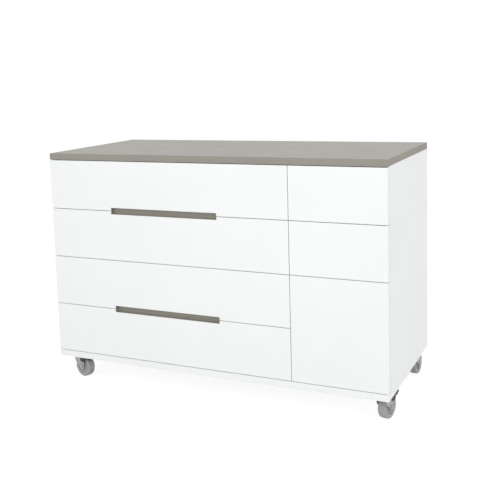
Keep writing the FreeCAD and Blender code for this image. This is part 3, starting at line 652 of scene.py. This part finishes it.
@dataclass
class Grip:
    """One front's half of the recess that two drawers share: the front's steps and the lining."""

    low: Array
    high: Array
    half: GripHalf
    node: str = "drawer_left_1_grip"
    fronts: tuple[str, str] = ("drawer_left_1_front", "drawer_left_2_front")
    notch: float = 10 * MM
    undercut: float = 7 * MM
    lip: float = 4 * MM
    depth: float = 16 * MM
    lining: float = 1.5 * MM
    clearance: float = 1 * MM

    def ends(self) -> Pair:
        """Left and right end, the same in every row."""
        low, high = corners(self.node)
        return low[0], high[0]

    def outline(self, notch: float) -> Array:
        """The front's outline in X and Z.

        Args:
            notch: Height of its notch at this depth.

        Returns:
            Eight points, the same number for each depth.
        """
        left, right = self.ends()
        around = rectangle(self.low[::2], self.high[::2])
        if self.half is GripHalf.LOWER_EDGE:
            bottom = self.low[2]
            cut = [(left, bottom), (left, bottom + notch), (right, bottom + notch), (right, bottom)]
            return np.concatenate([around[:1], cut, around[1:]])
        top = self.high[2]
        cut = [(right, top), (right, top - notch), (left, top - notch), (left, top)]
        return np.concatenate([around[:3], cut, around[3:]])

    def levels(self) -> list[tuple[float, Array]]:
        """The front's outline at each step of its depth, from the front face to the rear.

        Returns:
            Each step's place along Y and its outline.
        """
        deep = self.notch + self.undercut
        steps = [(0.0, self.notch), (self.lip, self.notch), (self.lip, deep)]
        if self.half is GripHalf.UPPER_EDGE:
            steps += [(self.depth, deep), (self.depth, 0.0)]
        steps.append((self.high[1] - self.low[1], steps[-1][1]))
        return [(self.low[1] + y, self.outline(notch)) for y, notch in steps]

    def lining_shell(self) -> Shell:
        """The lining: a channel along X closed by a wall at each end.

        The upper edge's lining also has a rear wall that stands up behind the seam.

        Returns:
            The shell.
        """
        lower = self.half is GripHalf.LOWER_EDGE
        outwards = -1.0 if lower else 1.0
        left, right = self.ends()
        face, sheet = self.low[1], self.lining
        lip = face + self.lip
        edge, rear = (self.low[2], self.high[1]) if lower else (self.high[2], face + self.depth)
        mouth = edge - outwards * self.notch
        deep = mouth - outwards * self.undercut
        rear_end = mouth if lower else edge
        inner = deep + outwards * sheet
        channel = np.array([
            (lip, mouth), (lip, deep), (rear, deep), (rear, rear_end), (rear - sheet, rear_end),
            (rear - sheet, inner), (lip + sheet, inner), (lip + sheet, mouth)])
        wall = np.array([(face, edge), (rear, edge), (rear, deep), (lip, deep), (lip, mouth), (face, mouth)])
        shell = Shell().prism(channel, 0, left + sheet, right - sheet)
        shell.prism(wall, 0, left, left + sheet).prism(wall, 0, right - sheet, right)
        if not lower:
            above, below = (corners(front) for front in self.fronts)
            top = edge + (above[0][2] - below[1][2]) + self.notch - self.clearance
            margin = sheet + self.clearance
            shell.box((left + margin, rear - sheet, edge), (right - margin, rear, top))
        return shell


@dataclass
class Drawer:
    """One drawer: front, box, runner members and, on the wide ones, half of a grip."""

    name: str
    half: GripHalf
    box_board: float = 12 * MM
    floor_lift: float = 10 * MM
    floor_board: float = 6 * MM

    def build(self) -> None:
        """Make the drawer's pieces."""
        self.front()
        self.box()
        repaint(self.name + "_runners", RUNNER_ZINC)

    def front(self) -> None:
        """Make the front, stepped where it is notched, and the lining of its notch."""
        front, grip = self.name + "_front", self.name + "_grip"
        low, high = corners(front)
        if self.half is GripHalf.NONE:
            dress(front + "_board", Shell().box(low, high), self.name, LACQUER, [front])
            return
        cut = Grip(low, high, self.half)
        dress(front + "_board", Shell().stepped(cut.levels(), 1), self.name, LACQUER, [front])
        dress(grip + "_lining", cut.lining_shell(), self.name, GRIP_LINING, [grip], CRISP)

    def box(self) -> None:
        """Make the box's five boards: two sides and, between them, front, back and floor."""
        node = self.name + "_box"
        (left, front, bottom), (right, rear, top) = corners(node)
        board, floor = self.box_board, bottom + self.floor_lift
        inner_left, inner_right = left + board, right - board
        shell = Shell().box((left, front, bottom), (inner_left, rear, top))
        shell.box((inner_right, front, bottom), (right, rear, top))
        shell.box((inner_left, front, bottom), (inner_right, front + board, top))
        shell.box((inner_left, rear - board, bottom), (inner_right, rear, top))
        shell.box((inner_left, front + board, floor), (inner_right, rear - board, floor + self.floor_board))
        dress(self.name + "_box_boards", shell, self.name, INNER_BOARD, [node], FINE)


# The door and the fittings behind the narrow column


@dataclass
class Door:
    """The door panel with the two holes that hold its bushings, and the door's fittings."""

    hole_radius: float = 5 * MM
    hole_depth: float = 12 * MM
    even_rays: int = 32

    def ring(self, low: Array, high: Array, pivot: Array) -> tuple[Array, Array]:
        """The panel's outline in X and Y, seen from the pivot.

        Rays leave the pivot at even angles and at the four corners, and each stops where it
        meets the outline.

        Args:
            low: The panel's low corner.
            high: The panel's high corner.
            pivot: The pivot in X and Y.

        Returns:
            The rays, of length one, and the outline's points, in the same order.
        """
        plan = rectangle(low, high) - pivot
        even = np.linspace(-math.pi, math.pi, self.even_rays, endpoint=False)
        angle = np.sort(np.concatenate([even, np.arctan2(plan[:, 1], plan[:, 0])]))
        ray = np.stack([np.cos(angle), np.sin(angle)], axis=-1)
        with np.errstate(divide="ignore"):
            reach = np.where(ray > 0, (high[:2] - pivot) / ray, (low[:2] - pivot) / ray)
        nearest = np.min(np.where(np.isfinite(reach), reach, np.inf), axis=1)
        return ray, pivot + ray * nearest[:, None]

    def build(self) -> None:
        """Make the panel as one stack of rings, from one bushing's seat to the other's."""
        low, high = corners("door_panel")
        pivot = np.array(joint("door_hinge")["pos_m"][:2])
        ray, outer = self.ring(low, high, pivot)
        hole = pivot + self.hole_radius * ray
        levels = [(low[2] + self.hole_depth, hole), (low[2], hole), (low[2], outer), (high[2], outer),
                  (high[2], hole), (high[2] - self.hole_depth, hole)]
        dress("door_board", Shell().stepped(levels, 2), "door", LACQUER, ["door_panel"])
        repaint("door_bushings", GREY_MOULDING)
        for node in ("door_upper_bracket", "door_lower_pivot_pin", "fitting_screws"):
            repaint(node, ZINC)


@dataclass
class Latches:
    """Push-to-open latches: housings on the case and a plunger behind each front."""

    pushed: tuple[str, ...] = ("drawer_right_1", "drawer_right_2", "door")
    stem_radius: float = 4 * MM
    head_radius: float = 6 * MM
    head: float = 3.5 * MM
    rounding: float = 1.2 * MM

    def build(self) -> None:
        """Finish the housings and make the plungers, each turned with a rounded head."""
        repaint("push_latch_housings", GREY_MOULDING)
        rounded = arc((self.rounding, self.head_radius - self.rounding), self.rounding, 180, 90, 5)
        for pushed in self.pushed:
            node = "push_latch_plunger_" + pushed
            low, high = corners(node)
            x, _, z = (low + high) / 2
            stem = [(self.head, self.head_radius), (self.head, self.stem_radius),
                    (high[1] - low[1], self.stem_radius)]
            profile = np.concatenate([[(0.0, 0.0)], rounded, stem])
            shell = Shell().turned(profile, PIN_SPOKES).moved(Matrix.Translation((x, low[1], z)))
            dress("plunger_" + pushed, shell, "plunger_" + pushed, WHITE_MOULDING, [node], None)


# Casters


@dataclass
class Caster:
    """One swivel caster: fork, axle, wheel and, on the front ones, a brake lever.

    Its local frame has its origin on the floor under the king pin, X towards the wheel and Y
    along the axle. The pedal is the lever's broad part, and the cheeks carry its pins.
    """

    corner: str
    place: Pair
    heading: float
    braked: bool
    trail: float = 26 * MM
    bore: float = 4.1 * MM

    wheel_radius: float = 38 * MM
    tread_half: float = 13.5 * MM
    tread_crown: float = 0.5 * MM
    tread_round: float = 3.6 * MM
    hub_radius: float = 29 * MM
    hub_rim: float = 3.5 * MM
    hub_chamfer: float = 0.8 * MM
    boss_radius: float = 10 * MM
    boss_half: float = 14.3 * MM
    web_half: float = 10 * MM
    web_slope: float = 1 * MM
    ribs: int = 10
    rib_half: float = 12.4 * MM
    rib_side: float = 1.1 * MM
    rib_root: float = 1 * MM
    rib_foot: float = 0.5 * MM

    axle_head: float = 3 * MM
    axle_dome: float = 1.4 * MM
    axle_head_radius: float = 6.5 * MM
    axle_radius: float = 4 * MM

    crown_low: float = 79.3 * MM
    crown_top: float = 82.9 * MM
    crown_radius: float = 23 * MM
    crown_shoulder: float = 2.2 * MM
    leg_inside: float = 14.7 * MM
    leg_outside: float = 17.7 * MM
    leg_boss: float = 11 * MM
    leg_bulge: float = 3.6 * MM
    leg_sink: float = 0.4 * MM

    lever_pivot: Pair = (34 * MM, 66 * MM)
    lever_inside: float = 18.1 * MM
    lever_outside: float = 21.1 * MM
    lever_start: float = 25 * MM
    lever_end: float = 76 * MM
    lever_top: float = 81.5 * MM
    lever_sheet: float = 3.5 * MM
    lever_drop: float = 3 * MM
    pedal_tail: float = 14 * MM
    pedal_taper: float = 0.96
    pedal_turn_share: float = 0.985
    pedal_round: float = 2.4 * MM
    pedal_round_share: float = 0.4
    skirt_drop: float = 7.5 * MM
    skirt_least: float = 0.3 * MM
    skirt_lead: float = 4 * MM
    skirt_rise_share: float = 0.6
    skirt_wall_share: float = 0.45
    cheek_half: float = 13 * MM
    cheek_drop: float = 10 * MM
    cheek_sink: float = 3 * MM
    cheek_inset: float = 0.25 * MM
    pin_radius: float = 2.5 * MM
    pin_sink: float = 1.5 * MM
    shoe: Pair = (47 * MM, 59 * MM)
    shoe_half: float = 9 * MM
    shoe_gap: float = 3.65 * MM
    shoe_root_share: float = 0.75

    @classmethod
    def from_frame(cls, corner: str) -> "Caster":
        """Read a caster's place and heading from its joints.

        Args:
            corner: Which caster, such as front_left.

        Returns:
            The caster, braked where the frame has its brake lever.
        """
        place = joint("caster_%s_swivel" % corner)["pos_m"]
        axle = joint("caster_%s_roll" % corner)["axis"]
        braked = "caster_%s_brake_lever" % corner in frame["nodes"]
        return cls(corner, (place[0], place[1]), math.atan2(-axle[0], axle[1]), braked)

    def matrix(self) -> Matrix:
        """From the caster's own frame to the dresser's."""
        return Matrix.Translation((*self.place, 0)) @ Matrix.Rotation(self.heading, 4, "Z")

    def centre(self) -> Matrix:
        """From the middle of the wheel to the caster's own frame."""
        return Matrix.Translation((self.trail, 0, self.wheel_radius))

    def build(self) -> None:
        """Make the caster's pieces."""
        self.fork()
        self.axle()
        self.hub()
        self.tread()
        if self.braked:
            self.lever()

    def finish(self, part: str, shell: Shell, body: str, finish: Finish, edge: Edge | None = None,
               node: str = "") -> None:
        """Place a part of this caster and dress it.

        Args:
            part: The part's name.
            shell: Its surfaces, in the caster's own frame.
            body: What it moves with: swivel, wheel or brake.
            finish: Its finish.
            edge: How its edges are eased.
            node: The node that it stands for, where it isn't the part's name.
        """
        caster = "caster_%s_" % self.corner
        dress(caster + part + "_dressed", shell.moved(self.matrix()), "%s_%s" % (body, self.corner),
              finish, [caster + (node or part)], edge)

    def fork(self) -> None:
        """Make the fork: a pressed crown with a rounded shoulder, and two legs with an axle eye.

        A leg's outline is set out in shares of the eye's and the crown's radius, then softened.
        """
        crown, boss, shoulder = self.crown_radius, self.leg_boss, self.crown_shoulder
        rim = arc((self.crown_top - shoulder, crown - shoulder), shoulder, 90, 0, 6)
        profile = np.concatenate([[(self.crown_low, self.bore), (self.crown_low, crown)], rim,
                                  [(self.crown_top, self.bore)]])
        shell = Shell().turned(profile, RACE_SPOKES, closed=True).moved(ABOUT_Z)
        x, z = self.lever_pivot
        axle_x, axle_z = self.trail, self.wheel_radius
        outline = softened(np.array([
            (-0.87 * crown, self.crown_top), (0.87 * crown, self.crown_top),
            (crown + self.leg_bulge, z + 0.9 * boss), (x + 0.5 * boss, z + 0.7 * boss),
            (x + 0.62 * boss, z - 0.5 * boss), (axle_x + 1.05 * boss, axle_z + 0.1 * boss),
            (axle_x + 0.95 * boss, axle_z - 0.6 * boss), (axle_x, axle_z - 1.18 * boss),
            (axle_x - 0.95 * boss, axle_z - 0.6 * boss), (axle_x - 1.1 * boss, axle_z + 0.15 * boss),
            (-0.42 * crown, axle_z + 1.1 * boss), (-0.52 * crown, self.crown_low - 0.6 * boss),
        ]))
        outline[:, 1] = np.minimum(outline[:, 1], self.crown_top - self.leg_sink)
        shell.pair(outline, self.leg_inside, self.leg_outside)
        self.finish("fork", shell, "swivel", ZINC, FINE)

    def axle(self) -> None:
        """Make the axle with an elliptic dome outside each leg."""
        wall = self.leg_outside + self.axle_head - self.axle_dome
        dome = arc((-wall, 0), (self.axle_dome, self.axle_head_radius), 180, 90, 6)
        inner = [(-self.leg_outside, self.axle_head_radius), (-self.leg_outside, self.axle_radius)]
        profile = mirrored(np.concatenate([dome, inner]))
        shell = Shell().turned(profile, PIN_SPOKES).moved(self.centre())
        self.finish("axle", shell, "swivel", ZINC)

    def hub(self) -> None:
        """Make the hub: a turned boss, web and rim, with straight ribs on both sides of the web."""
        web, rim, boss, half = self.web_half, self.hub_radius - self.hub_rim, self.boss_radius, self.boss_half
        cut, tread = self.hub_chamfer, self.tread_half
        side = np.array([
            (half - cut, self.bore), (half, self.bore + cut), (half, boss - cut), (half - cut, boss),
            (web, boss + self.web_slope), (web, rim - cut), (tread - cut, rim), (tread, rim + cut),
            (tread, self.hub_radius)])
        hub = Shell().turned(mirrored(side), HUB_SPOKES, closed=True)
        rib = rectangle((boss - self.rib_root, -self.rib_side), (rim + self.rib_root, self.rib_side))
        for turn in np.linspace(0, 2 * math.pi, self.ribs, endpoint=False):
            ribs = Shell().pair(rib, web - self.rib_foot, self.rib_half)
            hub.join(ribs.moved(Matrix.Rotation(turn, 4, "Y")))
        self.finish("wheel_hub", hub.moved(self.centre()), "wheel", HUB, node="wheel")

    def tread(self) -> None:
        """Make the tread: two rounded edges and, between them, a parabola as its crown."""
        flat = self.tread_half - self.tread_round
        top = self.wheel_radius - self.tread_crown
        edge = arc((flat, top - self.tread_round), self.tread_round, 0, 90, 7)
        across = np.linspace(flat, -flat, 7)[1:-1]
        middle = np.stack([across, self.wheel_radius - self.tread_crown * (across / flat) ** 2], axis=-1)
        inner = [(-self.tread_half, self.hub_radius), (self.tread_half, self.hub_radius)]
        profile = np.concatenate([inner, edge, middle, edge[::-1] * (-1, 1)])
        shell = Shell().turned(profile, TREAD_SPOKES, closed=True).moved(self.centre())
        self.finish("wheel_tread", shell, "wheel", TREAD, node="wheel")

    def pedal_rings(self) -> Array:
        """The pedal as a stack of U-shaped rings along X.

        At x the half width is w sqrt(1 - t s^4) over the tail, with t the taper and s the share
        of the tail that is passed. The top drops in a straight line from the pivot to the tail,
        and the skirt's lower edge rises to the sheet along a quarter of a sine round the tail.

        Returns:
            The rings, shaped (rings, points, 3).
        """
        tail, pivot = self.lever_end - self.pedal_tail, self.lever_pivot[0]
        turn = np.linspace(0, math.pi / 2, 12) * self.pedal_turn_share
        straight = np.linspace(self.lever_start, tail, 14)[:-1]
        x = np.concatenate([straight, tail + self.pedal_tail * np.sin(turn)])[:, None]
        share = np.clip((x - tail) / self.pedal_tail, 0, 1)
        width = self.lever_outside * np.sqrt(1 - self.pedal_taper * share ** 4)
        top = self.lever_top - self.lever_drop * np.clip((x - pivot) / (self.lever_end - pivot), 0, 1)
        passed = np.clip((x - tail + self.skirt_lead) / (self.skirt_rise_share * self.pedal_tail), 0, 1)
        sheet = top - self.lever_sheet
        skirt = sheet - self.skirt_least - self.skirt_drop * (1 - np.sin(0.5 * math.pi * passed))
        inside = width - np.minimum(self.lever_outside - self.lever_inside, self.skirt_wall_share * width)
        radius = np.minimum(self.pedal_round, self.pedal_round_share * width)
        bend = np.radians(np.linspace(0, 90, 5))
        over, under = radius * (1 - np.cos(bend)), radius * (1 - np.sin(bend))
        y = [-width, -width + over, (width - over)[:, ::-1], width, inside, inside, -inside, -inside]
        z = [skirt, top - under, (top - under)[:, ::-1], skirt, skirt, sheet, sheet, skirt]
        y, z = np.concatenate(y, axis=1), np.concatenate(z, axis=1)
        return np.stack([np.broadcast_to(x, y.shape), y, z], axis=-1)

    def lever(self) -> None:
        """Make the brake lever: a pedal with a skirt, two cheeks, their pins and the shoe.

        The shoe's foot keeps its gap to the tread at both of its ends.
        """
        shell = Shell().rings(self.pedal_rings())
        x, z = self.lever_pivot
        low, half, top = z - self.cheek_drop, self.cheek_half, self.lever_top - self.cheek_sink
        cheek = softened(np.array([
            (self.lever_start, top), (x + half, top), (x + half, low + 0.5 * self.cheek_drop),
            (x + 0.5 * half, low), (x - 0.5 * half, low), (x - half, low + 0.5 * self.cheek_drop),
        ]))
        pin = arc(self.lever_pivot, self.pin_radius, 0, 360, SCREW_SPOKES + 1)[:-1]
        shell.pair(cheek, self.lever_inside + self.cheek_inset, self.lever_outside - self.cheek_inset)
        shell.pair(pin, self.leg_inside, self.lever_outside - self.pin_sink)
        reach = self.wheel_radius + self.shoe_gap
        feet = [self.wheel_radius + math.sqrt(reach ** 2 - (end - self.trail) ** 2) for end in self.shoe]
        head = self.lever_top - self.shoe_root_share * self.lever_sheet
        block = np.array([(self.shoe[0], head), (self.shoe[1], head), (self.shoe[1], feet[1]),
                          (self.shoe[0], feet[0])])
        shell.prism(block, 1, -self.shoe_half, self.shoe_half)
        self.finish("brake_lever", shell, "brake", BLACK_MOULDING, MOULDED)


@dataclass
class CasterPlates:
    """The mounting plates with their flared races, the king pins and the plates' screws."""

    places: Sequence[Pair]
    plate: float = 2.5 * MM
    half: float = 30 * MM
    corner: float = 6 * MM
    corner_steps: int = 7
    bore: float = 4.1 * MM
    race_radius: float = 19 * MM
    race_root: float = 1 * MM
    race_step: float = 0.9 * MM
    flare: float = 2.4 * MM
    flare_drop: float = 2.2 * MM
    screw: Screw = Screw(radius=4.2 * MM, proud=0.5 * MM, length=18 * MM)
    screw_spread: float = 22 * MM

    def build(self) -> None:
        """Make the plates and screws, and finish the king pins."""
        low, high = corners("caster_plates")
        floor, ceiling = low[2], high[2]
        plate_low = ceiling - self.plate
        outline = rounded_square(self.half, self.corner, self.corner_steps)
        radius, step = self.race_radius, self.race_step
        ring = np.array([
            (plate_low + self.race_root, self.bore), (plate_low + self.race_root, radius),
            (plate_low, radius + self.flare), (plate_low - step, radius + step),
            (plate_low - self.flare_drop, radius), (floor, radius - step), (floor, self.bore)])
        spread = self.screw_spread
        plates, screws = Shell(), Shell()
        for x, y in self.places:
            plates.prism(outline + (x, y), 2, plate_low, ceiling)
            race = Shell().turned(ring, RACE_SPOKES, closed=True).moved(ABOUT_Z)
            plates.join(race.moved(Matrix.Translation((x, y, 0))))
            for u, v in rectangle((-spread, -spread), (spread, spread)):
                screws.join(self.screw.shell().moved(Matrix.Translation((x + u, y + v, plate_low))))
        dress("caster_plates_pressed", plates, "carcass", ZINC, ["caster_plates"], PRESSED)
        dress("caster_plate_screw_heads", screws, "carcass", ZINC, ["caster_plate_screws"], None)
        repaint("caster_king_pins", ZINC)


# Stage


@dataclass(frozen=True)
class Lamp:
    """A large square lamp, aimed at a point."""

    name: str
    place: Place
    aim: Place
    power: float
    size: float = 2.6

    def build(self) -> None:
        """Stand the lamp in its place."""
        lamp = bpy.data.lights.new(self.name, "AREA")
        lamp.shape = "SQUARE"
        lamp.size = self.size
        lamp.energy = self.power
        held = bpy.data.objects.new(self.name, lamp)
        held.location = self.place
        way = Vector(self.aim) - Vector(self.place)
        held.rotation_euler = way.to_track_quat("-Z", "Y").to_euler()
        bpy.context.scene.collection.objects.link(held)


@dataclass
class Studio:
    """Floor, light and camera.

    The camera's turn is yaw about Z, pitch downwards and roll about the line of sight, and its
    centre is where the line of sight meets the picture, in pixels.
    """

    camera_place: Place = (1.1996, -2.6107, 1.0892)
    yaw: float = 0.44493
    pitch: float = 0.11925
    roll: float = -0.0307
    focal_pixels: float = 826.46
    centre: Pair = (226.5, 169.5)
    picture: tuple[int, int] = (497, 499)
    sensor: float = 36.0
    horizon: Colour = (0.97, 0.965, 0.98)
    zenith: Colour = (0.52, 0.52, 0.53)
    lamps: tuple[Lamp, ...] = (
        Lamp("front_lamp", (0.9, -3.9, 2.6), (0.1, 0.0, 0.5), 55.0),
        Lamp("side_lamp", (4.2, -0.6, 2.2), (0.6, 0.0, 0.5), 15.0),
    )
    floor_half: float = 9.0
    floor_drop: float = 0.4 * MM
    floor_roughness: float = 0.9
    floor_tone: float = 0.86
    floor_seen_tone: float = 0.30
    floor_seen_glow: float = 0.84

    def build(self) -> None:
        """Make the stage."""
        bpy.context.scene.view_settings.view_transform = "Standard"
        self.floor()
        self.world()
        for lamp in self.lamps:
            lamp.build()
        self.camera()

    def floor(self) -> None:
        """Make the floor: pale, and plain white to the camera where nothing shades it."""
        half = self.floor_half
        grid = [(x, y, -self.floor_drop) for x, y in rectangle((-half, -half), (half, half)).tolist()]
        mesh = bpy.data.meshes.new("floor")
        mesh.from_pydata(grid, [], [(0, 1, 2, 3)])
        floor = bpy.data.objects.new("floor", mesh)
        bpy.context.scene.collection.objects.link(floor)
        made = bpy.data.materials.new("floor_paper")
        made.use_nodes = True
        tree = made.node_tree
        shader = tree.nodes["Principled BSDF"]
        shader.inputs["Roughness"].default_value = self.floor_roughness
        shader.inputs["Specular IOR Level"].default_value = 0.0
        shader.inputs["Emission Color"].default_value = (1, 1, 1, 1)
        seen = self.seen(tree)
        tone = ranged(tree, seen, (0.0, 1.0), (self.floor_tone, self.floor_seen_tone))
        glow = ranged(tree, seen, (0.0, 1.0), (0.0, self.floor_seen_glow))
        tree.links.new(tone, shader.inputs["Base Color"])
        tree.links.new(glow, shader.inputs["Emission Strength"])
        mesh.materials.append(made)

    @staticmethod
    def seen(tree: Tree) -> Socket:
        """Tell what the camera sees, straight or in a gloss or glass, from what only lights.

        Args:
            tree: The node tree.

        Returns:
            One where a ray comes from the camera or out of a gloss or glass, else nought.
        """
        path = tree.nodes.new("ShaderNodeLightPath")
        seen = path.outputs["Is Camera Ray"]
        for ray in ("Is Glossy Ray", "Is Transmission Ray"):
            either = tree.nodes.new("ShaderNodeMath")
            either.operation = "MAXIMUM"
            tree.links.new(seen, either.inputs[0])
            tree.links.new(path.outputs[ray], either.inputs[1])
            seen = either.outputs[0]
        return seen

    def world(self) -> None:
        """Light the object from all round, less from above, with a white ground where it is seen."""
        world = bpy.data.worlds.new("studio")
        world.use_nodes = True
        tree = world.node_tree
        nodes, links = tree.nodes, tree.links
        way = nodes.new("ShaderNodeTexCoord")
        split = nodes.new("ShaderNodeSeparateXYZ")
        links.new(way.outputs["Generated"], split.inputs["Vector"])
        sky, shown = nodes.new("ShaderNodeMix"), nodes.new("ShaderNodeMix")
        sky.data_type = shown.data_type = "RGBA"
        sky.inputs["A"].default_value = (*self.horizon, 1)
        sky.inputs["B"].default_value = (*self.zenith, 1)
        shown.inputs["B"].default_value = (1, 1, 1, 1)
        links.new(split.outputs["Z"], sky.inputs["Factor"])
        links.new(self.seen(tree), shown.inputs["Factor"])
        links.new(sky.outputs["Result"], shown.inputs["A"])
        links.new(shown.outputs["Result"], nodes["Background"].inputs["Color"])
        bpy.context.scene.world = world

    def camera(self) -> None:
        """Stand the camera where the photograph was taken from, shifted to the picture's centre."""
        tilt = Matrix.Rotation(math.pi / 2 - self.pitch, 4, "X") @ Matrix.Rotation(self.roll, 4, "Z")
        turn = Matrix.Rotation(self.yaw, 4, "Z") @ tilt
        long_side = max(self.picture)
        lens = bpy.data.cameras.new("camera")
        lens.sensor_width = self.sensor
        lens.lens = self.focal_pixels / long_side * self.sensor
        lens.shift_x = (self.picture[0] / 2 - self.centre[0]) / long_side
        lens.shift_y = (self.centre[1] - self.picture[1] / 2) / long_side
        held = bpy.data.objects.new("camera", lens)
        held.matrix_world = Matrix.Translation(self.camera_place) @ turn
        bpy.context.scene.collection.objects.link(held)
        bpy.context.scene.camera = held


def main() -> None:
    """Build the dresser, piece by piece."""
    logging.basicConfig(level=logging.INFO, format="%(message)s")
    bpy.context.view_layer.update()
    Studio().build()
    Case().build()
    for row, half in enumerate(2 * (GripHalf.LOWER_EDGE, GripHalf.UPPER_EDGE), start=1):
        Drawer("drawer_left_%d" % row, half).build()
    for row in (1, 2):
        Drawer("drawer_right_%d" % row, GripHalf.NONE).build()
    repaint("cabinet_runners", RUNNER_ZINC)
    Door().build()
    Latches().build()
    corner_names = ("front_left", "front_right", "rear_left", "rear_right")
    casters = [Caster.from_frame(corner) for corner in corner_names]
    CasterPlates([caster.place for caster in casters]).build()
    for caster in casters:
        caster.build()


if __name__ == "__main__":
    main()
